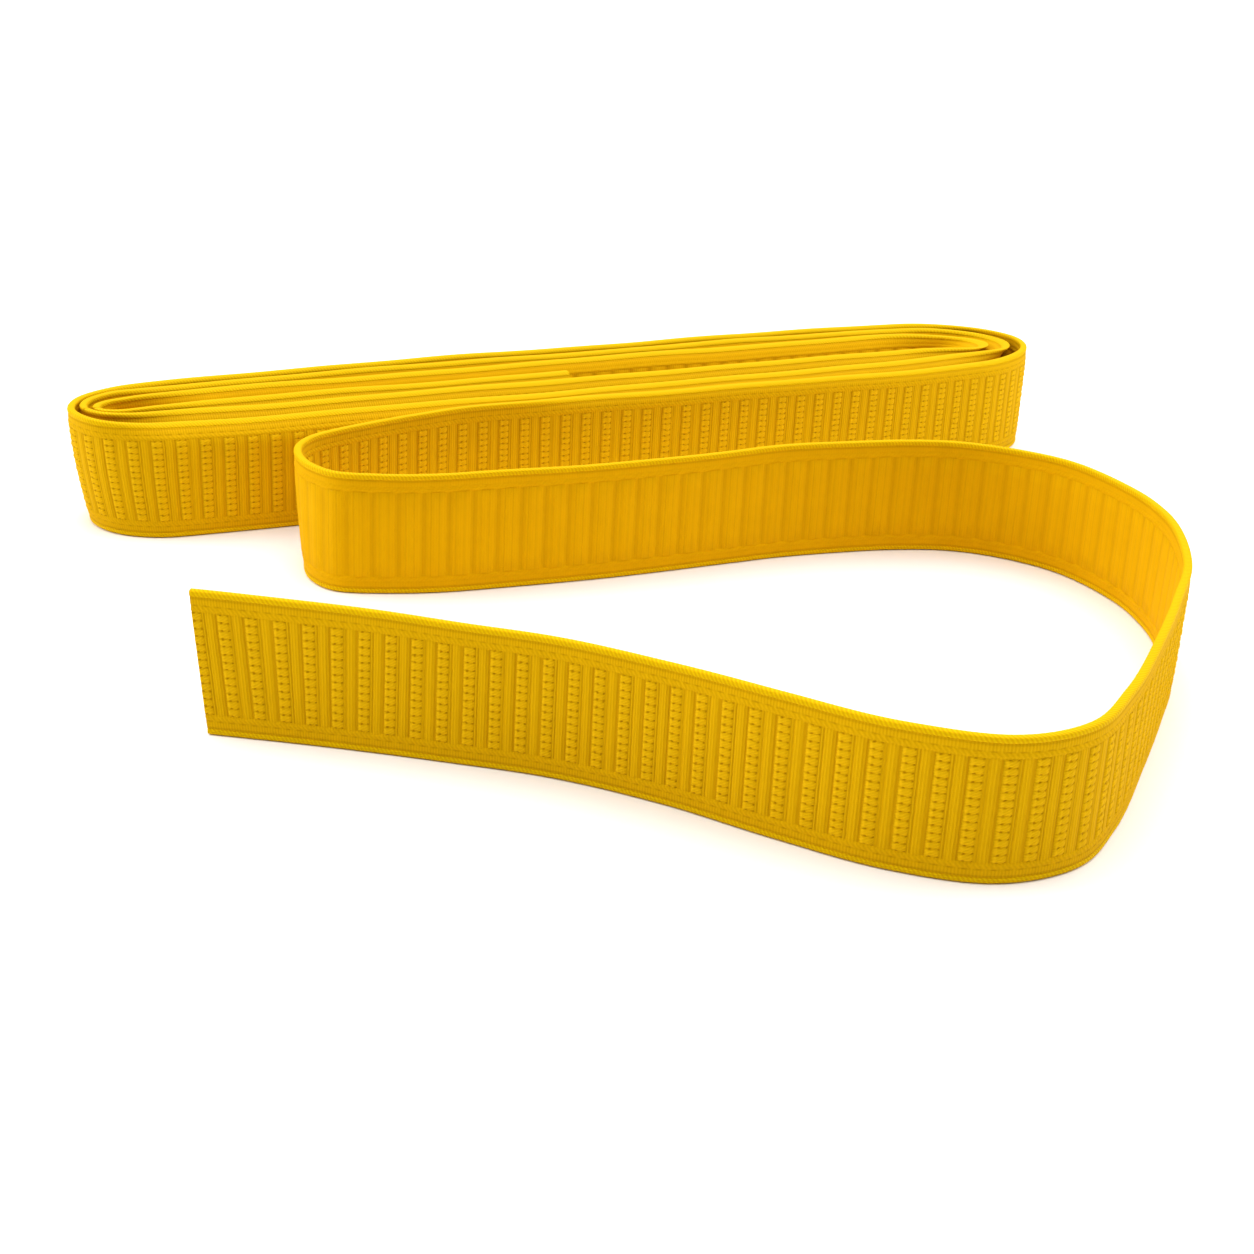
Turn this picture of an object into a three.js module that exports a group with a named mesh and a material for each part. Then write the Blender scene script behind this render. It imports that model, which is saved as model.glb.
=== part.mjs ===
// A martial arts belt: one long strap of ribbed webbing with a round cord woven in along
// each long edge. It stands on one edge. Most of it is folded to and fro into a loose hank,
// and the rest leaves the hank's front, folds back, runs to the right and comes round in a
// wide loop to its free end.
// Millimetres, +Z up, +X to the right, +Y away. The origin is under the middle of the belt.
// The strap is made of stretches that meet at the places where it bends, and each stretch is
// three pieces: the web, the upper edge cord and the lower edge cord.
import * as THREE from 'three';

// ---- Driving dimensions ----
const BELT_WIDTH = 40;            // over both edge cords, which is the height as it stands
const WEB_THICKNESS = 2.6;        // the ribbed web
const CORD_THICKNESS = 3.2;       // edge cord, through the strap
const CORD_HEIGHT = 2.2;          // edge cord, across the strap's width
const CORD_FLAT = 1.8;            // flat on the top and bottom of an edge cord
const PIECE_GAP = 0.3;            // between the web and the cord beside it
const BEND_GAP = 0.5;             // between two stretches of strap, end to end
const END_ROUND = 1.1;            // length over which a stretch's end is rounded off
const HANK_LENGTH = 384;          // between the middles of the outermost turns
const HANK_ANGLE = 26.8;          // degrees from +X to the hank's long axis
const HANK_CENTRE = new THREE.Vector2(-4.6, 98.3);
// clear space between the hank's runs, from its front to its back
const RUN_SPACES = [9.7, 10.7, 5.3, 9.3, 5.3, 4.3];
const RIGHT_TURN_SPACE = 7.3;     // clear space between nested turns at the right end
const LEFT_TURN_SPACE = 2.3;      // and at the left end
const TURN_ROUNDNESS = 0.72;      // depth of a turn over its width
const INNER_END = -5;             // where the strap's inner end stops, along the hank's axis

// ---- Shape tolerances ----
const MAX_TURN = THREE.MathUtils.degToRad(15);
const MAX_STEP = 38;
const FINE_STEPS = 40;            // arc length samples between two route points
const TURN_POINTS = 7;            // route points round one turn of the hank

const YELLOW = 0xe0a800;
const CORD_YELLOW = 0xe9c400;

// Route of the free stretch, seen from above, from its cut end to the front of the hank. Each
// point is [along the hank's long axis, across it] from the hank's middle, so that the free
// stretch turns with the hank.
const TAIL_TIP = [[-193, -169.5], [-164.5, -188.5], [-139, -207], [-115, -226]];
const TAIL = [[-93.5, -250], [-75.5, -276], [-57, -299.5], [-35.5, -315], [-12.5, -316],
  [9, -303.5], [39, -278], [65, -254.5], [82.5, -237.5]];
const MIDDLE_RUN = [[100, -212.5], [107.5, -196.5], [112.5, -175.5], [110.5, -147.5],
  [100, -128.5], [86, -116], [66.5, -108.5], [45.5, -104.5], [24, -102], [2.5, -101.5],
  [-39, -100.5], [-78, -97], [-97, -94.5], [-114.5, -89.5], [-128.5, -82.5], [-133, -72],
  [-132.5, -60.5]];
const FIRST_RUN = [[-129, -51.5], [-123, -45], [-114, -40.5], [-91.5, -33.5], [-78, -31]];
// Where the strap joins the hank: along the hank, and back from its front run's line.
const HANK_START = [[-64, 2.8], [-26, 2.6]];

// ---- The hank's route: runs joined by turns that nest inside each other ----
const axis = THREE.MathUtils.degToRad(HANK_ANGLE);
const along = new THREE.Vector2(Math.cos(axis), Math.sin(axis));
const across = new THREE.Vector2(-along.y, along.x);

function hankPoint(a, b) {
  const p = HANK_CENTRE.clone().addScaledVector(along, a).addScaledVector(across, b);
  return [p.x, p.y];
}

// How far each run's middle is across the hank, numbered from the front.
function runOffsets() {
  const offsets = [0];
  for (const space of RUN_SPACES) {
    offsets.push(offsets[offsets.length - 1] + space + CORD_THICKNESS);
  }
  const middle = offsets[offsets.length - 1] / 2;
  return offsets.map((offset) => offset - middle);
}

// Half a turn from the run at b0 to the run at b1, out to reach; side is 1 on the right.
function turnPoints(b0, b1, reach, side) {
  const middle = (b0 + b1) / 2;
  const half = (b1 - b0) / 2;
  const depth = Math.abs(half) * 2 * TURN_ROUNDNESS;
  const points = [];
  for (let i = 0; i < TURN_POINTS; i++) {
    const angle = Math.PI * (i / (TURN_POINTS - 1) - 0.5);
    const a = side * (reach - depth + depth * Math.cos(angle));
    points.push(hankPoint(a, middle + half * Math.sin(angle)));
  }
  return points;
}

const offsets = runOffsets();
const lastRun = offsets.length - 1;
const toPlan = (points) => points.map(([a, b]) => hankPoint(a, b));
const route = toPlan(TAIL_TIP);
const marks = {};                 // number of the route point where each stretch starts

function addStretch(name, points) {
  marks[name] = route.length;
  route.push(...points);
}

addStretch('tail', toPlan(TAIL));
addStretch('middle_run', toPlan(MIDDLE_RUN));
addStretch('first_run', toPlan(FIRST_RUN));
addStretch('hank_front_1', toPlan(HANK_START.map(([a, back]) => [a, offsets[0] + back])));

// The strap winds inwards: front 1, back 1, front 2, back 2, front 3, back 3, front 4.
const turns = lastRun;
for (let turn = 0; turn < turns; turn++) {
  const level = Math.floor(turn / 2);
  const onRight = turn % 2 === 0;
  const front = onRight ? level : level + 1;
  const back = lastRun - level;
  const space = onRight ? RIGHT_TURN_SPACE : LEFT_TURN_SPACE;
  const reach = HANK_LENGTH / 2 - level * (space + CORD_THICKNESS);
  const points = onRight
    ? turnPoints(offsets[front], offsets[back], reach, 1)
    : turnPoints(offsets[back], offsets[front], reach, -1);
  const apex = (TURN_POINTS - 1) / 2;
  route.push(...points.slice(0, apex));
  addStretch(onRight ? `hank_back_${level + 1}` : `hank_front_${level + 2}`, points.slice(apex));
}
route.push(hankPoint(INNER_END, offsets[turns / 2]));
marks.end = route.length - 1;

const curve = new THREE.CatmullRomCurve3(
  route.map(([x, y]) => new THREE.Vector3(x, y, 0)), false, 'centripetal');
curve.arcLengthDivisions = FINE_STEPS * (route.length - 1);
const lengths = curve.getLengths();
const beltLength = lengths[lengths.length - 1];

function distanceAt(mark) {
  return lengths[FINE_STEPS * mark];
}

// ---- Sweeping a section along the strap ----

// Places along the strap, closer together where it bends.
function stations(from, to) {
  const places = [from];
  let here = from;
  while (to - here > 1e-6) {
    let step = Math.min(MAX_STEP, to - here);
    const start = curve.getTangentAt(here / beltLength);
    while (start.angleTo(curve.getTangentAt((here + step) / beltLength)) > MAX_TURN) {
      step *= 0.8;
    }
    here += step;
    places.push(here);
  }
  return places;
}

// A closed solid: the section, a loop of [across the thickness, height] points that runs
// anticlockwise, carried from one place along the strap to another, with rounded ends.
function sweep(section, from, to) {
  const inner = stations(from + END_ROUND, to - END_ROUND).map((s) => [s, 1]);
  const rings = [[from, 0.4], ...inner, [to, 0.4]];
  const positions = [];
  for (const [s, thinning] of rings) {
    const u = Math.min(1, Math.max(0, s / beltLength));
    const centre = curve.getPointAt(u);
    const tangent = curve.getTangentAt(u);
    for (const [n, z] of section) {
      const side = n * thinning;
      positions.push(centre.x - tangent.y * side, centre.y + tangent.x * side, z);
    }
  }
  const size = section.length;
  const index = [];
  for (let ring = 0; ring < rings.length - 1; ring++) {
    for (let i = 0; i < size; i++) {
      const j = (i + 1) % size;
      const a = ring * size + i;
      const b = ring * size + j;
      index.push(a, b, a + size, b, b + size, a + size);
    }
  }
  const last = (rings.length - 1) * size;
  for (let i = 1; i < size - 1; i++) {
    index.push(0, i + 1, i);
    index.push(last, last + i, last + i + 1);
  }
  const geometry = new THREE.BufferGeometry();
  geometry.setAttribute('position', new THREE.Float32BufferAttribute(positions, 3));
  geometry.setIndex(index);
  geometry.computeVertexNormals();
  return geometry;
}

// ---- The three sections, each [across the thickness, height] ----
function webSection() {
  const half = WEB_THICKNESS / 2;
  const low = CORD_HEIGHT + PIECE_GAP;
  const high = BELT_WIDTH - low;
  return [[half, low], [half, high], [-half, high], [-half, low]];
}

function cordSection(low) {
  const half = CORD_THICKNESS / 2;
  const flat = CORD_FLAT / 2;
  const middle = low + CORD_HEIGHT / 2;
  const high = low + CORD_HEIGHT;
  return [[flat, low], [half, middle], [flat, high], [-flat, high], [-half, middle], [-flat, low]];
}

const webMaterial = new THREE.MeshStandardMaterial({ color: YELLOW, roughness: 0.9, metalness: 0 });
const cordMaterial = new THREE.MeshStandardMaterial({
  color: CORD_YELLOW, roughness: 0.8, metalness: 0,
});

const pieces = [
  ['web', webSection(), webMaterial],
  ['upper_edge_cord', cordSection(BELT_WIDTH - CORD_HEIGHT), cordMaterial],
  ['lower_edge_cord', cordSection(0), cordMaterial],
];

// ---- The belt ----
const belt = new THREE.Group();
const names = ['tail_tip', ...Object.keys(marks).filter((name) => name !== 'end')];
const starts = [0, ...Object.values(marks)].map(distanceAt);
names.forEach((name, i) => {
  const from = i === 0 ? starts[i] : starts[i] + BEND_GAP / 2;
  const to = i === names.length - 1 ? starts[i + 1] : starts[i + 1] - BEND_GAP / 2;
  for (const [kind, section, material] of pieces) {
    const mesh = new THREE.Mesh(sweep(section, from, to), material);
    mesh.name = `${name}_${kind}`;
    belt.add(mesh);
  }
});

export default belt;
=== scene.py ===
import math

import bmesh
import bpy
import numpy as np
from mathutils import Matrix, Vector


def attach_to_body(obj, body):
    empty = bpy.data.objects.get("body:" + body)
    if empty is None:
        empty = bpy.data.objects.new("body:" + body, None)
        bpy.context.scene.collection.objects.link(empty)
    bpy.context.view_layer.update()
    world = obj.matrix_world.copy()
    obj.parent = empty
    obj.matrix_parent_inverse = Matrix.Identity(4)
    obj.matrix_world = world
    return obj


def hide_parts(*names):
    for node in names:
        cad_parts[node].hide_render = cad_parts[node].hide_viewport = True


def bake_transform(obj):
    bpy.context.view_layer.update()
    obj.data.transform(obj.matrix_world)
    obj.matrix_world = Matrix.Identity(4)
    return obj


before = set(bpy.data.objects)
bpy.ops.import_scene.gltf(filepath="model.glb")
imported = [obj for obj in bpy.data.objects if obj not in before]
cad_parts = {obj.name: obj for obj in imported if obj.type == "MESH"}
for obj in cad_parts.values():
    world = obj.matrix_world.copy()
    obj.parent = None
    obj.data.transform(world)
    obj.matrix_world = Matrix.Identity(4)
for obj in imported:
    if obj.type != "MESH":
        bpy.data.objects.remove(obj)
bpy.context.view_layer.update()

bl_info = {
    "name": "Martial Arts Belt",
    "version": (1, 0, 0),
    "blender": (4, 5, 0),
    "location": "3D View > Sidebar > Belt",
    "description": "Builds a ribbed webbing belt, standing on its edge in a hank and a loop",
    "category": "Add Mesh",
}

MM = 0.001


# ---------------------------------------------------------------------------
# Sizes and colours
# ---------------------------------------------------------------------------

class BeltSizes(bpy.types.PropertyGroup):
    """Sizes of the strap"""

    belt_width: bpy.props.FloatProperty(
        name="Belt width", description="Over both edge cords", default=0.040, unit="LENGTH")
    recess_thickness: bpy.props.FloatProperty(
        name="Recess thickness", description="The webbing between two ribs",
        default=0.0021, unit="LENGTH")
    knot_relief: bpy.props.FloatProperty(
        name="Knot relief", description="How far a knotted rib stands out of the recess",
        default=0.00050, unit="LENGTH")
    rib_relief: bpy.props.FloatProperty(
        name="Rib relief", description="How far a rib stands out on the softer face",
        default=0.00042, unit="LENGTH")
    tail_rib_pitch: bpy.props.FloatProperty(
        name="Rib pitch near the free end", description="From one rib to the next",
        default=0.0072, unit="LENGTH")
    rib_pitch: bpy.props.FloatProperty(
        name="Rib pitch", description="From one rib to the next on the rest of the strap",
        default=0.0080, unit="LENGTH")
    knots_across: bpy.props.IntProperty(
        name="Knots across", description="Knots one above the other in a rib", default=13)
    cord_thickness: bpy.props.FloatProperty(
        name="Edge cord thickness", description="Through the strap",
        default=0.0026, unit="LENGTH")
    cord_height: bpy.props.FloatProperty(
        name="Edge cord height", description="Across the strap's width",
        default=0.0018, unit="LENGTH")


def linear(hex_colour):
    """An sRGB hex colour as linear RGBA."""
    channels = [int(hex_colour[i:i + 2], 16) / 255 for i in (0, 2, 4)]
    return tuple(c / 12.92 if c <= 0.04045 else ((c + 0.055) / 1.055) ** 2.4
                 for c in channels) + (1.0,)


def colour_property(name, description, hex_colour):
    return bpy.props.FloatVectorProperty(
        name=name, description=description, default=linear(hex_colour), size=4,
        min=0.0, max=1.0, subtype="COLOR")


class BeltColours(bpy.types.PropertyGroup):
    """Colours of the strap and of the floor"""

    yarn: colour_property("Yarn", "Yellow yarn of the webbing", "DCA702")
    yarn_soft: colour_property("Yarn of the softer face", "Smoother and a little lighter",
                               "E6AC02")
    # Also painted shade: the darker, redder colour put in the valleys, gaps, holes and
    # grooves of the weave; besides that, the mottle of uneven dye
    yarn_mottle_and_painted_shade: colour_property("Mottle and painted shade", "Uneven dye, and painted shade in the gaps and grooves of the weave",
                               "A87000")
    # Also a painted highlight on the knots' crowns, besides the lighter threads
    yarn_threads_and_painted_highlight: colour_property("Threads and painted highlight", "Lighter threads, and a painted highlight on the knots' crowns",
                                "F2C010")
    cord: colour_property("Edge cord", "Yarn bound round the edge cords", "EECA06")
    floor: colour_property("Floor", "Matt paper floor", "FFFFFF")


# ---------------------------------------------------------------------------
# The strap's route, the same as in the CAD part
# ---------------------------------------------------------------------------

# Millimetres. The points are [along the hank, across it] from the hank's middle.

HANK_LENGTH = 384
HANK_ANGLE = math.radians(26.8)
HANK_CENTRE = np.array([-4.6, 98.3])
CORD_IN_PLAN = 3.2
RUN_SPACES = [9.7, 10.7, 5.3, 9.3, 5.3, 4.3]   # between the hank's runs, front to back
RIGHT_TURN_SPACE = 7.3     # between nested turns at the right end
LEFT_TURN_SPACE = 2.3      # and at the left end
TURN_ROUNDNESS = 0.72      # depth of a turn over its width
TURN_POINTS = 7
INNER_END = -5             # where the strap's inner end stops, along the hank
TAIL_TIP = [[-193, -169.5], [-164.5, -188.5], [-139, -207], [-115, -226]]
TAIL = [[-93.5, -250], [-75.5, -276], [-57, -299.5], [-35.5, -315], [-12.5, -316],
        [9, -303.5], [39, -278], [65, -254.5], [82.5, -237.5]]
MIDDLE_RUN = [[100, -212.5], [107.5, -196.5], [112.5, -175.5], [110.5, -147.5],
              [100, -128.5], [86, -116], [66.5, -108.5], [45.5, -104.5], [24, -102],
              [2.5, -101.5], [-39, -100.5], [-78, -97], [-97, -94.5], [-114.5, -89.5],
              [-128.5, -82.5], [-133, -72], [-132.5, -60.5]]
FIRST_RUN = [[-129, -51.5], [-123, -45], [-114, -40.5], [-91.5, -33.5], [-78, -31]]
HANK_START = [[-64, 2.8], [-26, 2.6]]

ALONG = np.array([math.cos(HANK_ANGLE), math.sin(HANK_ANGLE)])
ACROSS = np.array([-ALONG[1], ALONG[0]])


class Route:
    """The strap's middle line in plan, sampled finely, with its places by name."""

    SAMPLES = 40

    def __init__(self):
        self.points = []
        self.marks = {"free_end": 0}
        offsets = self.run_offsets()
        self.add(TAIL_TIP)
        self.add(TAIL, "tail")
        self.add(MIDDLE_RUN, "middle_run")
        self.add(FIRST_RUN, "first_run")
        self.add([[a, offsets[0] + back] for a, back in HANK_START], "hank_front_1")
        last = len(offsets) - 1
        for turn in range(last):
            self.add_turn(turn, offsets, last)
        self.add([[INNER_END, offsets[last // 2]]])
        self.marks["inner_end"] = len(self.points) - 1
        self.sample()

    @staticmethod
    def run_offsets():
        """How far each run's middle is across the hank, from the front."""
        offsets = [0.0]
        for space in RUN_SPACES:
            offsets.append(offsets[-1] + space + CORD_IN_PLAN)
        return [offset - offsets[-1] / 2 for offset in offsets]

    def add(self, points, name=None):
        if name:
            self.marks[name] = len(self.points)
        for a, b in points:
            self.points.append(HANK_CENTRE + a * ALONG + b * ACROSS)

    def add_turn(self, turn, offsets, last):
        """Half a turn round the right or the left end; a stretch starts at its apex."""
        level = turn // 2
        on_right = turn % 2 == 0
        front = offsets[level if on_right else level + 1]
        back = offsets[last - level]
        space = RIGHT_TURN_SPACE if on_right else LEFT_TURN_SPACE
        reach = HANK_LENGTH / 2 - level * (space + CORD_IN_PLAN)
        side = 1 if on_right else -1
        start, end = (front, back) if on_right else (back, front)
        middle, half = (start + end) / 2, (end - start) / 2
        depth = abs(half) * 2 * TURN_ROUNDNESS
        points = []
        for i in range(TURN_POINTS):
            angle = math.pi * (i / (TURN_POINTS - 1) - 0.5)
            points.append([side * (reach - depth + depth * math.cos(angle)),
                           middle + half * math.sin(angle)])
        apex = (TURN_POINTS - 1) // 2
        self.add(points[:apex])
        name = f"hank_back_{level + 1}" if on_right else f"hank_front_{level + 2}"
        self.add(points[apex:], name)

    def sample(self):
        """Centripetal Catmull-Rom through the points, as the CAD part's curve."""
        p = [np.array(q, float) for q in self.points]
        p = [2 * p[0] - p[1]] + p + [2 * p[-1] - p[-2]]
        places, tangents = [], []
        for i in range(1, len(p) - 2):
            p0, p1, p2, p3 = p[i - 1:i + 3]
            d0, d1, d2 = (max(np.linalg.norm(b - a), 1e-9) ** 0.5
                          for a, b in ((p0, p1), (p1, p2), (p2, p3)))
            t1 = ((p1 - p0) / d0 - (p2 - p0) / (d0 + d1) + (p2 - p1) / d1) * d1
            t2 = ((p2 - p1) / d1 - (p3 - p1) / (d1 + d2) + (p3 - p2) / d2) * d1
            last = i == len(p) - 3
            for k in range(self.SAMPLES + (1 if last else 0)):
                t = k / self.SAMPLES
                a = 2 * p1 - 2 * p2 + t1 + t2
                b = -3 * p1 + 3 * p2 - 2 * t1 - t2
                places.append(p1 + t * (t1 + t * (b + t * a)))
                tangents.append(t1 + t * (2 * b + 3 * t * a))
        self.places = np.array(places) * MM
        tangents = np.array(tangents)
        self.tangents = tangents / np.linalg.norm(tangents, axis=1)[:, None]
        steps = np.linalg.norm(np.diff(self.places, axis=0), axis=1)
        self.distances = np.concatenate([[0], np.cumsum(steps)])
        self.length = float(self.distances[-1])

    def distance(self, mark):
        return float(self.distances[self.marks[mark] * self.SAMPLES])

    def at(self, s):
        """Places and unit normals (to the left of the route) at distances s."""
        x = np.interp(s, self.distances, self.places[:, 0])
        y = np.interp(s, self.distances, self.places[:, 1])
        tx = np.interp(s, self.distances, self.tangents[:, 0])
        ty = np.interp(s, self.distances, self.tangents[:, 1])
        size = np.hypot(tx, ty)
        return x, y, -ty / size, tx / size


ROUTE = Route()

# ---------------------------------------------------------------------------
# The lengths of strap: which stretch of the CAD part each one stands for, and how it moves
# ---------------------------------------------------------------------------

# Strap on each side of a hinge, built as one length round it
TAIL_FLEX_REACH = 0.044
LOOP_REACH = 0.060
PEEL_REACH = 0.016
FOLD_BEFORE = 0.040        # strap before the left fold's hinge, in the fold's length
FOLD_AFTER = 0.024         # and after it
FOLD_NEAR = 0.018          # how far in front of the hinge the fold's first guide point lies
FOLD_FAR = 0.012           # and how far behind it the second guide point lies


IN_SIGHT = ("hank_front_1", "hank_back_1", "hank_front_2")   # hank runs with fine relief


class Length:
    """One length of strap, from one rib valley to another. It stands for a CAD stretch and
    rides on one body, or it lies between two bodies from one guide point to the other, and
    moves with neither."""

    def __init__(self, name, start, end, stretch=None, body=None, bodies=None, guide=None,
                 fine=True):
        self.name = name
        self.start = start
        self.end = end
        self.stretch = stretch
        self.body = body
        self.bodies = bodies
        self.guide = guide
        self.fine = fine


def strap_lengths():
    """Every length of strap, from the free end to the inner end."""
    flex, loop, fold, peel = (ROUTE.distance(mark) for mark in (
        "tail", "middle_run", "first_run", "hank_front_1"))

    def point(s):
        x, y = ROUTE.at(np.array([s]))[:2]
        return Vector((float(x[0]), float(y[0]), 0.02))

    def bend(name, bodies, hinge, reach):
        return Length(name, hinge - reach, hinge + reach, bodies=bodies,
                      guide=(point(hinge - reach), point(hinge + reach)))

    fold_guide = (point(fold) - Vector((0, FOLD_NEAR, 0)),
                  point(fold) + Vector((0, FOLD_FAR, 0)))
    lengths = [
        Length("tail_tip", 0.0, flex - TAIL_FLEX_REACH, "tail_tip", "tail_tip"),
        bend("tail_flex", ("tail_tip", "tail"), flex, TAIL_FLEX_REACH),
        Length("tail", flex + TAIL_FLEX_REACH, loop - LOOP_REACH, "tail", "tail"),
        bend("loop_bend", ("tail", "middle_run"), loop, LOOP_REACH),
        Length("middle_run", loop + LOOP_REACH, fold - FOLD_BEFORE, "middle_run",
               "middle_run"),
        Length("left_fold", fold - FOLD_BEFORE, fold + FOLD_AFTER,
               bodies=("middle_run", "first_run"), guide=fold_guide),
        Length("first_run", fold + FOLD_AFTER, peel - PEEL_REACH, "first_run",
               "first_run"),
        bend("peel_bend", ("first_run", "hank"), peel, PEEL_REACH),
    ]
    names = ["hank_front_1", "hank_back_1", "hank_front_2", "hank_back_2", "hank_front_3",
             "hank_back_3", "hank_front_4"]
    places = [ROUTE.distance(name) for name in names[1:]]
    starts, ends = [peel + PEEL_REACH] + places, places + [ROUTE.length]
    for name, start, end in zip(names, starts, ends):
        lengths.append(Length(name, start, end, name, "hank", fine=name in IN_SIGHT))
    return lengths


FIRST_VALLEY = -0.0006     # the cut goes through the first rib, just after its valley
CLOSE_RIBS_END = 0.130     # up to here the ribs have the pitch of the free end
PITCH_CHANGE = 0.030       # strap over which the pitch changes


def rib_valleys(sizes):
    """Distances of the valleys between the ribs, from the free end to the inner end."""
    valleys = [FIRST_VALLEY]
    while valleys[-1] < ROUTE.length:
        here = valleys[-1]
        mix = min(1.0, max(0.0, (here - CLOSE_RIBS_END) / PITCH_CHANGE))
        pitch = sizes.tail_rib_pitch + (sizes.rib_pitch - sizes.tail_rib_pitch) * mix
        valleys.append(here + pitch)
    return np.array(valleys)


# ---------------------------------------------------------------------------
# The weave's relief
# ---------------------------------------------------------------------------

# Along one rib pitch: [share of the pitch, height on the knotted face, how far the gaps
# between knots cut into it, height on the softer face]. Heights are shares of the relief.
RIB_PROFILE = [
    (0.000, -0.16, 0.0, 0.10),
    (0.040, 0.66, 0.3, 0.20),
    (0.100, 1.00, 0.9, 0.44),
    (0.165, 0.80, 1.0, 0.66),
    (0.230, 0.94, 0.7, 0.84),
    (0.320, 0.96, 0.9, 0.80),
    (0.395, 0.70, 1.0, 0.96),
    (0.430, 0.10, 0.4, 1.00),
    (0.480, 0.38, 0.0, 0.96),
    (0.530, 0.02, 0.0, 0.84),
    (0.600, 0.26, 0.0, 0.60),
    (0.700, 0.38, 0.0, 0.52),
    (0.800, 0.34, 0.0, 0.34),
    (0.880, 0.14, 0.0, 0.12),
    (0.950, -0.12, 0.0, 0.00),
]
KNOT_ROWS = [(0.0, 1.0), (0.2, 0.45), (0.5, 0.0), (0.8, 0.45)]   # (place in a knot, gap)

RIB_LOW = 0.0059           # where the ribs start and stop, above the lower edge
RIB_HIGH = 0.0341
PLAIN_STEPS = 6            # rows of faces up a rib with no knots
KNOT_CUT = 0.62            # depth of the gap between two knots, as a share of their relief
KNOT_UNEVENNESS = 0.14     # as a share of their relief
UNEVEN_STEPS = 3800        # it changes every 8 of these steps, which are 2.1 mm
UNEVEN_SHARE = 8
HEM_PERIOD = 0.00175       # slanting stitches beside each edge
HEM_RELIEF = 0.00010

# Half thickness of the plain border between an edge and the ribs: (height, half thickness,
# share of the hem's slanting relief).
BORDER = [
    (0.0015, 0.00085, 0.0),
    (0.0018, 0.00112, 0.0),
    (0.0022, 0.00110, 0.0),
    (0.0027, 0.00119, 0.0),
    (0.0034, 0.00123, 0.0),
    (0.0039, 0.00112, 0.2),
    (0.0042, 0.00116, 0.6),
    (0.0046, 0.00130, 1.0),
    (0.0050, 0.00134, 1.0),
    (0.0054, 0.00128, 0.8),
    (0.0057, 0.00110, 0.2),
]


def strap_columns(valleys, start, end):
    """Distances and rib phases (in ribs) of a length's columns, from valley to valley."""
    k0 = int(np.argmin(np.abs(valleys - start)))
    k1 = int(np.argmin(np.abs(valleys - end)))
    phases = [k + share[0] for k in range(k0, k1) for share in RIB_PROFILE] + [float(k1)]
    phases = np.array(phases)
    s = np.interp(phases, np.arange(len(valleys)), valleys)
    return np.clip(s, 0.0, ROUTE.length), phases


def face_rows(middle, width):
    """Rows of one face from the lower to the upper edge, its borders round its middle rows:
    (height, half thickness, rib share, knot gap, hem share)."""
    lower = [(z, half, 0.0, 0.0, hem) for z, half, hem in BORDER]
    upper = [(width - z, half, 0.0, 0.0, hem) for z, half, hem in reversed(BORDER)]
    return lower + middle + upper


def knotted_rows(knots, recess):
    """Middle rows of a face whose ribs are columns of knots."""
    tall = (RIB_HIGH - RIB_LOW) / knots
    rows = [(RIB_LOW + (knot + place) * tall, recess, 1.0, gap, 0.0)
            for knot in range(knots) for place, gap in KNOT_ROWS]
    return rows + [(RIB_HIGH, recess, 1.0, 1.0, 0.0)]


def plain_rows(recess):
    """Middle rows of a face whose ribs have no knots."""
    return [(RIB_LOW + (RIB_HIGH - RIB_LOW) * step / PLAIN_STEPS, recess, 1.0, 0.0, 0.0)
            for step in range(PLAIN_STEPS + 1)]


# Slow waves in the upper edge: (by how much, radians per metre of strap, where it starts)
SIDE_WAVES = [(0.00035, 31.0, 0.0), (0.00022, 73.0, 1.3)]
RISE_WAVES = [(0.00016, 47.0, 0.6), (0.00010, 121.0, 2.0)]


def wander(s):
    """How far the strap's upper edge strays sideways and upwards, as soft cloth does."""
    return [sum(size * np.sin(s * rate + start) for size, rate, start in waves)
            for waves in (SIDE_WAVES, RISE_WAVES)]


def eased(t):
    """0 up to 0, 1 from 1 on, and smooth in between."""
    t = np.clip(t, 0, 1)
    return t * t * (3 - 2 * t)


def near(s, place, reach):
    """1 at a place along the strap, falling smoothly to 0 at reach on either side of it."""
    return eased(1 - np.abs(s - place) / reach)


# Turns that stand a little out of upright: (where, reach along the strap, how far the upper
# edge and the lower edge lie out of upright, along +X).
OUT_OF_UPRIGHT = [
    ("first_run", 0.034, -0.0016, 0.0020),
    ("hank_front_2", 0.060, 0.0, 0.0056),
    ("hank_front_3", 0.054, 0.0, 0.0052),
    ("hank_front_4", 0.048, 0.0, 0.0048),
]
LOWER_EDGE_FALL = 1.8      # how fast the lower edge's shift dies out upwards
# In the hank the upper edges of the runs roll over backwards: (run, by how much, height of
# strap that rolls over).
ROLLED_RUNS = [
    ("hank_front_1", 0.0030, 0.0050),
    ("hank_front_2", 0.0070, 0.0100),
    ("hank_front_3", 0.0076, 0.0110),
    ("hank_front_4", 0.0060, 0.0095),
    ("hank_back_3", 0.0064, 0.0095),
    ("hank_back_2", 0.0046, 0.0085),
    ("hank_back_1", 0.0030, 0.0065),
]
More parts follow.
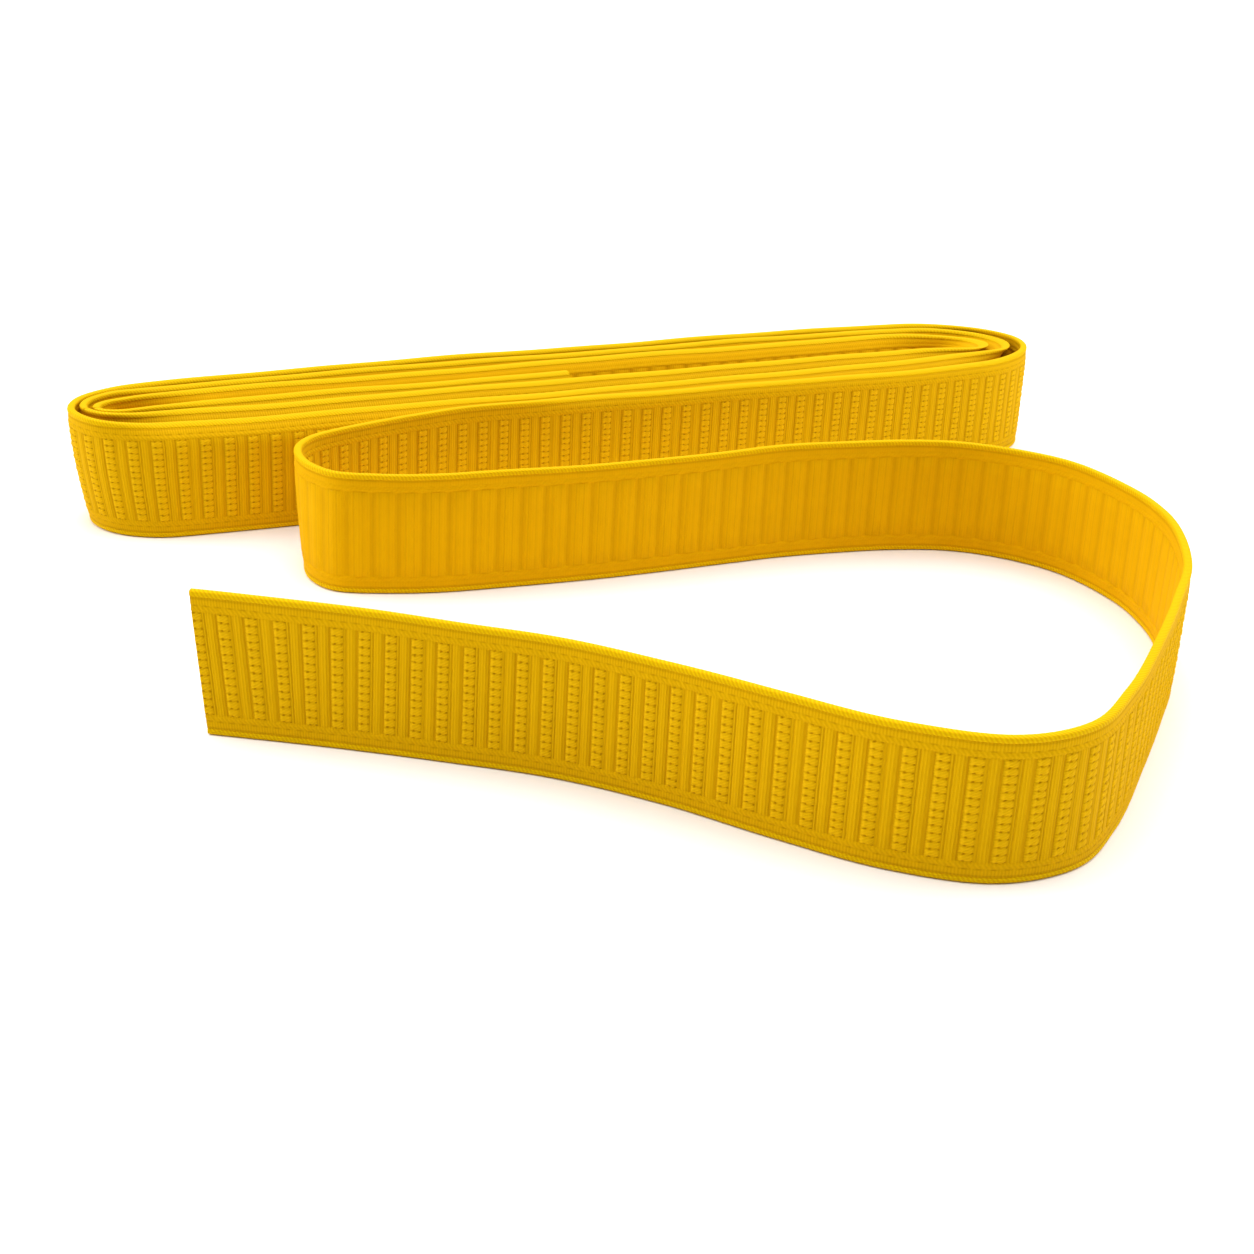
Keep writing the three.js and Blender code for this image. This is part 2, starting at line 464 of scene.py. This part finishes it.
# The inner turns roll outwards: (where, reach along the strap, by how much along the hank).
ROLLED_TURNS = [
    ("hank_back_2", 0.050, 0.0076),
    ("hank_back_3", 0.046, 0.0108),
    ("hank_front_3", 0.034, -0.0012),
    ("hank_front_4", 0.030, -0.0024),
]
ROLLED_TURN_HEIGHT = 0.0105
ROLL_CLEAR = 0.010         # strap beside a turn of the hank that doesn't roll over
ROLL_START = 0.034         # strap over which a run's roll begins and ends
ROLL_DROP = 0.26           # how much lower a rolled edge is, as a share of its roll
END_LEAN = 0.0036          # the free end tips over backwards by this
END_LEAN_REACH = 0.11
END_SLANT = 0.0052         # and its upper corner reaches out beyond the cut by this
END_SLANT_REACH = 0.05
END_SLANT_PIVOT = 0.15     # share of the height at which the cut keeps its place


def roll_over(s, z, width):
    """How far points are carried to the back of the hank, along it, and down."""
    names = list(ROUTE.marks)
    back, along = np.zeros(len(s)), np.zeros(len(s))
    for run, amount, tall in ROLLED_RUNS:
        after = names[names.index(run) + 1]
        start = ROUTE.distance(run) + (PEEL_REACH if run == "hank_front_1" else ROLL_CLEAR)
        end = math.inf if after == "inner_end" else ROUTE.distance(after) - ROLL_CLEAR
        share = np.clip((z - (width - tall)) / tall, 0, 1)
        back += amount * share * share * eased(np.minimum(s - start, end - s) / ROLL_START)
    for mark, reach, amount in ROLLED_TURNS:
        share = np.clip((z - (width - ROLLED_TURN_HEIGHT)) / ROLLED_TURN_HEIGHT, 0, 1)
        along += amount * share * share * near(s, ROUTE.distance(mark), reach)
    return back, along, ROLL_DROP * np.hypot(back, along)


def place_on_route(s, side, z, width):
    """World places of points at distance s, side to the left of the route, height z."""
    x, y, nx, ny = ROUTE.at(s)
    stray, rise = wander(s)
    share = z / width
    side = side + (stray + END_LEAN * near(s, 0.0, END_LEAN_REACH)) * share
    out = END_SLANT * near(s, 0.0, END_SLANT_REACH) * (share - END_SLANT_PIVOT)
    x = x + nx * side - ny * out
    y = y + ny * side + nx * out
    for mark, reach, upper, lower in OUT_OF_UPRIGHT:
        x = x + near(s, ROUTE.distance(mark), reach) * (
            upper * share + lower * (1 - share) ** LOWER_EDGE_FALL)
    back, along, down = roll_over(s, z, width)
    x = x + ACROSS[0] * back + ALONG[0] * along
    y = y + ACROSS[1] * back + ALONG[1] * along
    return x, y, z + rise * share - down


def grid_for_tube(name, columns, rows):
    """A grid that will be a tube: columns along the strap, and rows round it, the last of
    them on the first. Returns its mesh, and each vertex's column and row."""
    bm = bmesh.new()
    bmesh.ops.create_grid(bm, x_segments=columns - 1, y_segments=rows, size=0.5)
    mesh = bpy.data.meshes.new(name)
    bm.to_mesh(mesh)
    bm.free()
    flat = np.zeros(len(mesh.vertices) * 3)
    mesh.vertices.foreach_get("co", flat)
    flat = flat.reshape(-1, 3)
    column = np.rint((flat[:, 0] + 0.5) * (columns - 1)).astype(int)
    row = np.rint((flat[:, 1] + 0.5) * rows).astype(int)
    return mesh, column, row


def give_uv(mesh, u, v):
    """A UV map from per-vertex values."""
    layer = mesh.uv_layers.new(name="Weave")
    index = np.zeros(len(mesh.loops), dtype=np.int32)
    mesh.loops.foreach_get("vertex_index", index)
    uv = np.stack([u[index], v[index]], axis=1).astype(np.float32)
    layer.data.foreach_set("uv", uv.ravel())


def close_tube(mesh):
    """Joins the tube's long seam, fills its two ends and turns its faces outwards."""
    bm = bmesh.new()
    bm.from_mesh(mesh)
    bmesh.ops.remove_doubles(bm, verts=bm.verts, dist=1e-7)
    ends = [e for e in bm.edges if e.is_boundary]
    for edge in ends:
        edge.smooth = False
    bmesh.ops.holes_fill(bm, edges=ends, sides=0)
    bmesh.ops.recalc_face_normals(bm, faces=bm.faces)
    for face in bm.faces:
        face.smooth = len(face.verts) == 4
    bm.to_mesh(mesh)
    bm.free()


def finish_piece(mesh, name, materials):
    """An object in the scene for a finished mesh, with its materials."""
    for material in materials:
        mesh.materials.append(material)
    obj = bpy.data.objects.new(name, mesh)
    bpy.context.scene.collection.objects.link(obj)
    return obj


def attach(obj, length):
    """Makes a piece move with its length's body, or else bakes its place into its mesh."""
    if length.body:
        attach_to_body(obj, length.body)
    else:
        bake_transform(obj)


def knot_unevenness(rib, z):
    """A small change from rib to rib and up each rib, since no two knots stand out alike.
    The sine and its two factors only scatter the numbers of the rib and of the step."""
    return KNOT_UNEVENNESS * np.sin(
        rib // 1 * 12.99 + (z * UNEVEN_STEPS) // UNEVEN_SHARE * 78.2)


def build_webbing(length, sizes, valleys, materials):
    """The ribbed web of one length of strap, with its relief on both faces; returns it with
    its cut length."""
    s, phases = strap_columns(valleys, length.start, length.end)
    if not length.fine:
        s, phases = s[::2], phases[::2]
    width, recess = sizes.belt_width, sizes.recess_thickness / 2
    middle = knotted_rows(sizes.knots_across, recess) if length.fine else plain_rows(recess)
    front = face_rows(middle, width)
    back = face_rows(plain_rows(recess), width)
    ring = [(-1, *values) for values in front] + [(1, *values) for values in reversed(back)]
    mesh, column, row = grid_for_tube(length.name, len(s), len(ring))
    side, z, half, ribbed, gap, hem = np.array(ring)[row % len(ring)].T

    share = phases[column] % 1.0
    places, knotted, cut, soft = np.array(RIB_PROFILE + [(1.0, *RIB_PROFILE[0][1:])]).T
    knotted, cut, soft = (np.interp(share, places, values)
                          for values in (knotted, cut, soft))
    uneven = 1 + knot_unevenness(phases[column], z) * (cut > 0)
    relief = np.where(side < 0, sizes.knot_relief * (knotted * uneven - KNOT_CUT * cut * gap),
                      sizes.rib_relief * soft)
    slant = np.cos(2 * math.pi * (s[column] + z) / HEM_PERIOD)
    out = half + ribbed * relief + hem * HEM_RELIEF * slant
    x, y, height = place_on_route(s[column], side * out, z, width)
    mesh.vertices.foreach_set("co", np.stack([x, y, height], 1).ravel())
    give_uv(mesh, phases[column], z / MM)

    corners = np.zeros(len(mesh.loops), dtype=np.int32)
    mesh.loops.foreach_get("vertex_index", corners)
    face_row = row[corners].reshape(-1, 4).mean(axis=1)
    on_back = (face_row > len(front) - 0.5).astype(np.int32)
    mesh.polygons.foreach_set("material_index", on_back)
    close_tube(mesh)
    obj = finish_piece(mesh, f"{length.name}_webbing", materials)
    if length.stretch:
        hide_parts(f"{length.stretch}_web")
    attach(obj, length)
    return obj, float(s[-1] - s[0])


CORD_SIDES = 16
CORD_GIRTH = 7.8           # millimetres round an edge cord
CORD_CORNERS = 0.62        # below 1, an oval with fuller corners
BINDING_SWELL = 0.0021     # the cord swells once in this, a coarse trace of its binding
BINDING_RELIEF = 0.02      # as a share of the cord's half thickness


def squared(value):
    """Pushes a cosine towards plus or minus 1, so that an oval fills out its corners."""
    return np.sign(value) * np.abs(value) ** CORD_CORNERS


def build_cord(length, sizes, valleys, upper, material):
    """One edge cord of a length of strap: a flattened cord, all but flush with the web."""
    s = strap_columns(valleys, length.start, length.end)[0]
    if not length.fine:
        s = s[::2]
    mesh, column, row = grid_for_tube(length.name, len(s), CORD_SIDES)
    angle = row / CORD_SIDES * 2 * math.pi
    half_thickness, half_height = sizes.cord_thickness / 2, sizes.cord_height / 2
    middle = sizes.belt_width - half_height if upper else half_height
    wrap = 1 + BINDING_RELIEF * np.cos(2 * math.pi * s[column] / BINDING_SWELL + angle)
    side = half_thickness * squared(np.cos(angle)) * wrap
    z = middle + half_height * squared(np.sin(angle))
    x, y, height = place_on_route(s[column], side, z, sizes.belt_width)
    mesh.vertices.foreach_set("co", np.stack([x, y, height], 1).ravel())
    give_uv(mesh, s[column] / MM, row * (CORD_GIRTH / CORD_SIDES))
    close_tube(mesh)
    place = "upper" if upper else "lower"
    obj = finish_piece(mesh, f"{length.name}_{place}_cord", [material])
    if length.stretch:
        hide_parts(f"{length.stretch}_{place}_edge_cord")
    attach(obj, length)
    return obj


# ---------------------------------------------------------------------------
# Materials
# ---------------------------------------------------------------------------

WAVE_PERIOD = 0.314        # a wave texture of scale 1 repeats at this
THREAD_RELIEF = 0.00025    # metres
# (degrees from upright, millimetres from thread to thread, how uneven). The threads look
# about 0.6 mm thick. All are drawn coarser than that, so that they show.
THREADS_UPRIGHT = (0, 0.86, 0.8)
THREADS_ON_KNOTS = (62, 0.70, 1.6)
THREADS_ON_HEM = (-38, 1.1, 1.4)
CORD_BINDING = (32, 1.0, 0.7)


def add_node(tree, kind, values=(), stops=(), **settings):
    """Adds a node with its settings. values go into its inputs, by place or by name: each is
    a number, a colour, a socket, or a node whose first output is wanted. stops are a colour
    ramp's [place, grey] pairs."""
    node = tree.nodes.new(kind)
    for key, value in settings.items():
        setattr(node, key, value)
    for key, value in values.items() if isinstance(values, dict) else enumerate(values):
        if isinstance(value, bpy.types.Node):
            value = value.outputs[0]
        if isinstance(value, bpy.types.NodeSocket):
            tree.links.new(value, node.inputs[key])
        else:
            node.inputs[key].default_value = value
    if stops:
        ramp = node.color_ramp
        ramp.interpolation = "EASE"
        while len(ramp.elements) < len(stops):
            ramp.elements.new(1.0)
        for element, (place, grey) in zip(ramp.elements, stops):
            element.position = place
            element.color = (grey, grey, grey, 1.0)
    return node


def new_material(name):
    """An empty node material and its tree."""
    material = bpy.data.materials.new(name)
    material.use_nodes = True
    tree = material.node_tree
    tree.nodes.clear()
    return material, tree


def finish_yarn(tree, colour, level, strength, roughness):
    """Dyed spun yarn: matt, because its fibres scatter the light, with a soft sheen of its
    own colour where they stand off it, and a small relief of threads."""
    bump = add_node(tree, "ShaderNodeBump", {
        "Height": level, "Strength": strength, "Distance": THREAD_RELIEF})
    shader = add_node(tree, "ShaderNodeBsdfPrincipled", {
        "Base Color": colour, "Roughness": roughness, "Normal": bump, "IOR": 1.5,
        "Specular IOR Level": 0.08, "Specular Tint": linear("FFD060"),
        "Sheen Weight": 0.12, "Sheen Roughness": 0.5, "Sheen Tint": linear("FFC400")})
    add_node(tree, "ShaderNodeOutputMaterial", (shader,))


def laid_threads(tree, place, turn, pitch, distortion):
    """Threads side by side at a pitch in millimetres, turned by degrees from upright."""
    laid = add_node(tree, "ShaderNodeMapping", {
        "Vector": place, "Rotation": (0, 0, math.radians(turn))})
    return add_node(tree, "ShaderNodeTexWave", {
        "Vector": laid, "Scale": WAVE_PERIOD / pitch, "Distortion": distortion,
        "Detail": 2.0, "Detail Scale": 1.2}).outputs["Fac"]


# Shares of one rib pitch, from the valley before a rib to the next valley. Painted shade
# in the valleys and grooves of either face, painted shade in the gap between two knots, a
# painted highlight where the knots catch the light, and where the slanting threads of the
# knots lie.
KNOTTED_PAINTED_SHADE = [(0.000, 0.50), (0.030, 0.00), (0.415, 0.00), (0.452, 0.60), (0.495, 0.00),
                 (0.545, 0.90), (0.600, 0.00), (0.800, 0.00), (0.860, 0.50), (0.890, 0.40),
                 (0.965, 1.00), (1.000, 0.60)]
KNOT_GAP_PAINTED_SHADE = [(0.000, 0.00), (0.030, 0.20), (0.075, 0.20), (0.155, 1.00), (0.235, 0.20),
             (0.335, 0.20), (0.410, 0.90), (0.485, 0.00)]
KNOT_PAINTED_HIGHLIGHTS = [(0.000, 0.35), (0.085, 0.77), (0.155, 0.32), (0.210, 0.30), (0.360, 0.30),
               (0.450, 0.00)]
KNOT_THREADS = [(0.000, 1.00), (0.400, 1.00), (0.460, 0.00), (0.970, 0.00), (1.000, 1.00)]
SOFT_PAINTED_SHADE = [(0.000, 0.14), (0.060, 0.00), (0.220, 0.00), (0.280, 0.16), (0.340, 0.00),
              (0.560, 0.00), (0.620, 0.20), (0.670, 0.02), (0.900, 0.30), (1.000, 0.14)]
# The gap between two knots, over the height of one knot
ROW_GAPS = [(0.00, 1.0), (0.24, 0.0), (0.76, 0.0), (1.00, 1.0)]
# Millimetres from the nearer edge
GROOVE = [(1.55, 0.0), (2.05, 1.0), (2.55, 0.0)]
HEM_HOLES = [(3.48, 0.0), (3.90, 1.0), (4.32, 0.0)]
HEM = [(3.3, 0.0), (4.7, 1.0), (5.9, 0.0)]
RIBS = [(5.7, 0.0), (5.9, 1.0)]


def webbing_material(name, colours, sizes, knotted):
    """Narrow woven webbing of dyed spun yarn, with its threads showing: a painted highlight
    on the knots' crowns, and painted shade, darker and redder, in the gaps and grooves.
    Its UV map holds the rib's number and the height in millimetres."""
    material, tree = new_material(name)
    uv = add_node(tree, "ShaderNodeUVMap", uv_map="Weave")
    parts = add_node(tree, "ShaderNodeSeparateXYZ", (uv,))
    rib, height = parts.outputs[0], parts.outputs[1]
    along = add_node(tree, "ShaderNodeMath", (rib, sizes.rib_pitch / MM),
                     operation="MULTIPLY")
    place = add_node(tree, "ShaderNodeCombineXYZ", (along, height))
    half_width = sizes.belt_width / MM / 2
    off_middle = add_node(tree, "ShaderNodeMath", (height, half_width),
                          operation="SUBTRACT")
    off_middle = add_node(tree, "ShaderNodeMath", (off_middle,), operation="ABSOLUTE")
    from_edge = add_node(tree, "ShaderNodeMapRange", (off_middle, half_width, 0.0))
    by_edge = {}
    for key, stops in (("groove", GROOVE), ("holes", HEM_HOLES), ("hem", HEM),
                       ("ribs", RIBS)):
        by_edge[key] = add_node(tree, "ShaderNodeValToRGB", (from_edge,), stops=[
            (mm / half_width, grey) for mm, grey in stops])

    # The knots wander a little from their rows and ribs, over about 2 mm
    stray = add_node(tree, "ShaderNodeTexNoise", {
        "Vector": place, "Scale": 0.45, "Detail": 2.0})
    stray = add_node(tree, "ShaderNodeMath", (stray, 0.5), operation="SUBTRACT")
    phase = add_node(tree, "ShaderNodeMath", (stray, 0.05, rib), operation="MULTIPLY_ADD")
    phase = add_node(tree, "ShaderNodeMath", (phase,), operation="FRACT")
    # Painted shade along the valleys and grooves of each rib
    lines = add_node(tree, "ShaderNodeValToRGB", (phase,),
                     stops=KNOTTED_PAINTED_SHADE if knotted else SOFT_PAINTED_SHADE)
    painted_shade = add_node(tree, "ShaderNodeMath", (lines, by_edge["ribs"]), operation="MULTIPLY")

    # Threads slant over the knots and the hem, and are upright elsewhere
    threads = laid_threads(tree, place, *THREADS_UPRIGHT)
    painted_highlight = 0.0
    if knotted:
        painted_shade = add_node(tree, "ShaderNodeMath", (painted_shade, 0.52), operation="MULTIPLY")
        tall = (RIB_HIGH - RIB_LOW) / MM / sizes.knots_across
        row = add_node(tree, "ShaderNodeMath", (height, RIB_LOW / MM),
                       operation="SUBTRACT")
        row = add_node(tree, "ShaderNodeMath", (row, tall), operation="DIVIDE")
        row = add_node(tree, "ShaderNodeMath", (stray, 0.5, row), operation="MULTIPLY_ADD")
        row = add_node(tree, "ShaderNodeMath", (row,), operation="FRACT")
        joint = add_node(tree, "ShaderNodeValToRGB", (row,), stops=ROW_GAPS)
        joint = add_node(tree, "ShaderNodeMath", (joint, by_edge["ribs"]),
                         operation="MULTIPLY")
        # Painted shade in the gaps between two knots
        gaps = add_node(tree, "ShaderNodeValToRGB", (phase,), stops=KNOT_GAP_PAINTED_SHADE)
        gaps = add_node(tree, "ShaderNodeMath", (gaps, joint), operation="MULTIPLY")
        painted_shade = add_node(tree, "ShaderNodeMath", (painted_shade, gaps), operation="MAXIMUM")
        # A painted highlight on the knots' crowns, kept off the gaps
        painted_highlight = add_node(tree, "ShaderNodeValToRGB", (phase,), stops=KNOT_PAINTED_HIGHLIGHTS)
        between = add_node(tree, "ShaderNodeMath", (by_edge["ribs"], joint),
                           operation="SUBTRACT")
        painted_highlight = add_node(tree, "ShaderNodeMath", (painted_highlight, between), operation="MULTIPLY")
        on_knot = add_node(tree, "ShaderNodeValToRGB", (phase,), stops=KNOT_THREADS)
        on_knot = add_node(tree, "ShaderNodeMath", (on_knot, by_edge["ribs"]),
                           operation="MULTIPLY")
        threads = add_node(tree, "ShaderNodeMix", {
            0: on_knot, 2: threads, 3: laid_threads(tree, place, *THREADS_ON_KNOTS)})
    threads = add_node(tree, "ShaderNodeMix", {
        0: by_edge["hem"], 2: threads, 3: laid_threads(tree, place, *THREADS_ON_HEM)})

    # Painted shade in the stitch holes beside the ribs, and in the groove beside each edge
    # cord
    stitch = add_node(tree, "ShaderNodeMath", (along, HEM_PERIOD / MM), operation="DIVIDE")
    stitch = add_node(tree, "ShaderNodeMath", (stitch, 1.0), operation="PINGPONG")
    holes = add_node(tree, "ShaderNodeMath", (stitch, by_edge["holes"]),
                     operation="MULTIPLY")
    holes = add_node(tree, "ShaderNodeMath", (holes, 0.55 if knotted else 0.12),
                     operation="MULTIPLY")
    groove = add_node(tree, "ShaderNodeMath", (by_edge["groove"], 0.35),
                      operation="MULTIPLY")
    for line in (holes, groove):
        painted_shade = add_node(tree, "ShaderNodeMath", (painted_shade, line), operation="MAXIMUM")

    # Even yarn first, then dyeing that is uneven over about 9 mm, threads, the painted
    # highlight on the knots' crowns and the painted shade in the lines, gaps, holes and
    # groove over it
    mottle = add_node(tree, "ShaderNodeTexNoise", {
        "Vector": place, "Scale": 0.11, "Detail": 2.0})
    tone = colours.yarn if knotted else colours.yarn_soft
    for share, most, colour in (
            (mottle, 0.20, colours.yarn_mottle_and_painted_shade),
            (threads, 0.46 if knotted else 0.20, colours.yarn_threads_and_painted_highlight),
            (painted_highlight, 1.0, colours.yarn_threads_and_painted_highlight),
            (painted_shade, 0.85, colours.yarn_mottle_and_painted_shade)):
        share = add_node(tree, "ShaderNodeMath", (share, most), operation="MULTIPLY")
        tone = add_node(tree, "ShaderNodeMix", {0: share, 6: tone, 7: colour},
                        data_type="RGBA").outputs[2]

    # Loose fibres, drawn about 0.45 mm apart: much coarser than they are, so that they show
    fibres = add_node(tree, "ShaderNodeTexNoise", {
        "Vector": place, "Scale": 2.2, "Detail": 4.0, "Roughness": 0.65})
    level = add_node(tree, "ShaderNodeMath", (threads, 0.6), operation="MULTIPLY")
    for part, share in ((fibres, 0.35), (painted_shade, -1.6)):
        level = add_node(tree, "ShaderNodeMath", (part, share, level),
                         operation="MULTIPLY_ADD")
    finish_yarn(tree, tone, level, 0.50 if knotted else 0.30, 0.86)
    return material


def cord_material(name, colours):
    """A core bound with fine dyed yarn: a little smoother and brighter than the webbing.
    The binding's turns are drawn 1 mm apart and its fibres 0.5 mm apart, both coarser than
    they are, so that they show. Its UV map holds millimetres along the cord and round it."""
    material, tree = new_material(name)
    uv = add_node(tree, "ShaderNodeUVMap", uv_map="Weave")
    binding = laid_threads(tree, uv, *CORD_BINDING)
    fibres = add_node(tree, "ShaderNodeTexNoise", {
        "Vector": uv, "Scale": 2.0, "Detail": 3.0})
    share = add_node(tree, "ShaderNodeMath", (binding, 0.7), operation="MULTIPLY")
    tone = add_node(tree, "ShaderNodeMix", {0: share, 6: colours.yarn, 7: colours.cord},
                    data_type="RGBA").outputs[2]
    level = add_node(tree, "ShaderNodeMath", (binding, 0.7), operation="MULTIPLY")
    level = add_node(tree, "ShaderNodeMath", (fibres, 0.3, level),
                     operation="MULTIPLY_ADD")
    finish_yarn(tree, tone, level, 0.36, 0.78)
    return material


def floor_material(colours):
    """Uncoated white paper: plain and matt, with no gloss at all."""
    material, tree = new_material("matt white paper")
    shader = add_node(tree, "ShaderNodeBsdfPrincipled", {
        "Base Color": colours.floor, "Roughness": 1.0, "Specular IOR Level": 0.0})
    add_node(tree, "ShaderNodeOutputMaterial", (shader,))
    return material


# ---------------------------------------------------------------------------
# Operators
# ---------------------------------------------------------------------------

# The lengths that aren't in the hank
FREE = ("tail_tip", "tail_flex", "tail", "loop_bend", "middle_run", "left_fold",
        "first_run", "peel_bend")


def build_lengths(context, chosen):
    """Builds the webbing and edge cords of the chosen lengths of strap."""
    sizes, colours = context.scene.belt_sizes, context.scene.belt_colours
    valleys = rib_valleys(sizes)
    faces = [bpy.data.materials.get("knotted webbing")
             or webbing_material("knotted webbing", colours, sizes, True),
             bpy.data.materials.get("ribbed webbing")
             or webbing_material("ribbed webbing", colours, sizes, False)]
    binding = bpy.data.materials.get("bound edge cord") or cord_material(
        "bound edge cord", colours)
    for length in strap_lengths():
        if (length.name in FREE) != (chosen == "free"):
            continue
        web, cut = build_webbing(length, sizes, valleys, faces)
        cords = [build_cord(length, sizes, valleys, upper, binding)
                 for upper in (True, False)]


class BELT_OT_free_strap(bpy.types.Operator):
    """Builds the free part of the strap: the tail, the loop, the middle run and the fold"""

    bl_idname = "belt.free_strap"
    bl_label = "Free Strap"

    def execute(self, context):
        build_lengths(context, "free")
        return {"FINISHED"}


class BELT_OT_hank(bpy.types.Operator):
    """Builds the strap that is folded to and fro in the hank"""

    bl_idname = "belt.hank"
    bl_label = "Hank"

    def execute(self, context):
        build_lengths(context, "hank")
        return {"FINISHED"}


FLOOR_SIZE = 6.0           # half its side
FLOOR_DROP = 0.0002        # how far it lies below the strap's lower edges
ROOM_LIGHT = 0.13
OVERHEAD_LIGHT = 4.25
OVERHEAD_SPREAD = 100      # degrees of sky that it fills
OVERHEAD_TILT = -14        # degrees; it comes a little from behind
# (name, place, side, power); all face the middle of the belt
SOFTBOXES = [
    ("right softbox", (0.80, 0.14, 0.30), 0.5, 1.75),
    ("left softbox", (-1.4, 0.05, 0.50), 0.8, 8.5),
]
BELT_MIDDLE = (0, 0, 0.02)
CAMERA_PLACE = (0.0124, -0.6196, 0.24116)
CAMERA_PITCH = 23.0        # degrees below level
CAMERA_ROLL = -2.98
CAMERA_LENS = 56.46


class BELT_OT_stage(bpy.types.Operator):
    """Adds the camera, the white floor and the soft lights"""

    bl_idname = "belt.stage"
    bl_label = "Stage"

    def execute(self, context):
        colours = context.scene.belt_colours
        add_camera(context)
        add_floor(floor_material(colours))
        add_world(context)
        add_overhead(context)
        for softbox in SOFTBOXES:
            add_softbox(context, *softbox)
        context.scene.view_settings.view_transform = "Standard"
        return {"FINISHED"}


def add_floor(material):
    """A flat sheet under the belt."""
    bm = bmesh.new()
    bmesh.ops.create_grid(bm, x_segments=1, y_segments=1, size=FLOOR_SIZE)
    mesh = bpy.data.meshes.new("floor")
    bm.to_mesh(mesh)
    bm.free()
    floor = finish_piece(mesh, "floor", [material])
    floor.location.z = -FLOOR_DROP


def add_camera(context):
    """Looks along +Y and down at the belt, from a little over its front."""
    data = bpy.data.cameras.new("camera")
    data.sensor_width = 36.0
    data.lens = CAMERA_LENS
    data.clip_start, data.clip_end = 0.01, 50.0
    camera = bpy.data.objects.new("camera", data)
    pitch, roll = math.radians(CAMERA_PITCH), math.radians(CAMERA_ROLL)
    forward = Vector((0, math.cos(pitch), -math.sin(pitch)))
    level = Vector((1, 0, 0))
    down = Vector((0, -math.sin(pitch), -math.cos(pitch)))
    right = math.cos(roll) * level + math.sin(roll) * down
    up = math.sin(roll) * level - math.cos(roll) * down
    turn = Matrix((right, up, -forward)).transposed()
    camera.matrix_world = Matrix.Translation(CAMERA_PLACE) @ turn.to_4x4()
    context.scene.collection.objects.link(camera)
    context.scene.camera = camera


def add_world(context):
    """A white studio all round: dim as a light, and plain white where it is seen."""
    world = bpy.data.worlds.new("white studio")
    world.use_nodes = True
    tree = world.node_tree
    seen = add_node(tree, "ShaderNodeLightPath").outputs["Is Camera Ray"]
    strength = add_node(tree, "ShaderNodeMapRange", {
        "Value": seen, "To Min": ROOM_LIGHT, "To Max": 1.0})
    background = tree.nodes["Background"]
    background.inputs["Color"].default_value = linear("FFFFFF")
    tree.links.new(strength.outputs[0], background.inputs["Strength"])
    context.scene.world = world


def add_overhead(context):
    """An even white ceiling, wide enough to light the whole floor alike."""
    data = bpy.data.lights.new("overhead", "SUN")
    data.energy = OVERHEAD_LIGHT
    data.angle = math.radians(OVERHEAD_SPREAD)
    light = bpy.data.objects.new("overhead", data)
    light.rotation_euler = (math.radians(OVERHEAD_TILT), 0, 0)
    context.scene.collection.objects.link(light)


def add_softbox(context, name, place, size, power):
    """A square soft light that faces the belt."""
    data = bpy.data.lights.new(name, "AREA")
    data.shape = "SQUARE"
    data.size = size
    data.energy = power
    light = bpy.data.objects.new(name, data)
    light.location = place
    aim = Vector(BELT_MIDDLE) - Vector(place)
    light.rotation_euler = aim.to_track_quat("-Z", "Y").to_euler()
    context.scene.collection.objects.link(light)


class BELT_PT_panel(bpy.types.Panel):
    """Lists the belt's builders"""

    bl_label = "Martial Arts Belt"
    bl_idname = "BELT_PT_panel"
    bl_space_type = "VIEW_3D"
    bl_region_type = "UI"
    bl_category = "Belt"

    def draw(self, context):
        layout = self.layout
        for group in (context.scene.belt_sizes, context.scene.belt_colours):
            for name in group.__annotations__:
                layout.prop(group, name)
        for operator in OPERATORS:
            layout.operator(operator.bl_idname)


OPERATORS = (BELT_OT_free_strap, BELT_OT_hank, BELT_OT_stage)
CLASSES = (BeltSizes, BeltColours) + OPERATORS + (BELT_PT_panel,)


def register():
    for cls in CLASSES:
        bpy.utils.register_class(cls)
    bpy.types.Scene.belt_sizes = bpy.props.PointerProperty(type=BeltSizes)
    bpy.types.Scene.belt_colours = bpy.props.PointerProperty(type=BeltColours)


def unregister():
    del bpy.types.Scene.belt_colours
    del bpy.types.Scene.belt_sizes
    for cls in reversed(CLASSES):
        bpy.utils.unregister_class(cls)


def main():
    register()
    bpy.ops.belt.free_strap()
    bpy.ops.belt.hank()
    bpy.ops.belt.stage()


if __name__ == "__main__":
    main()
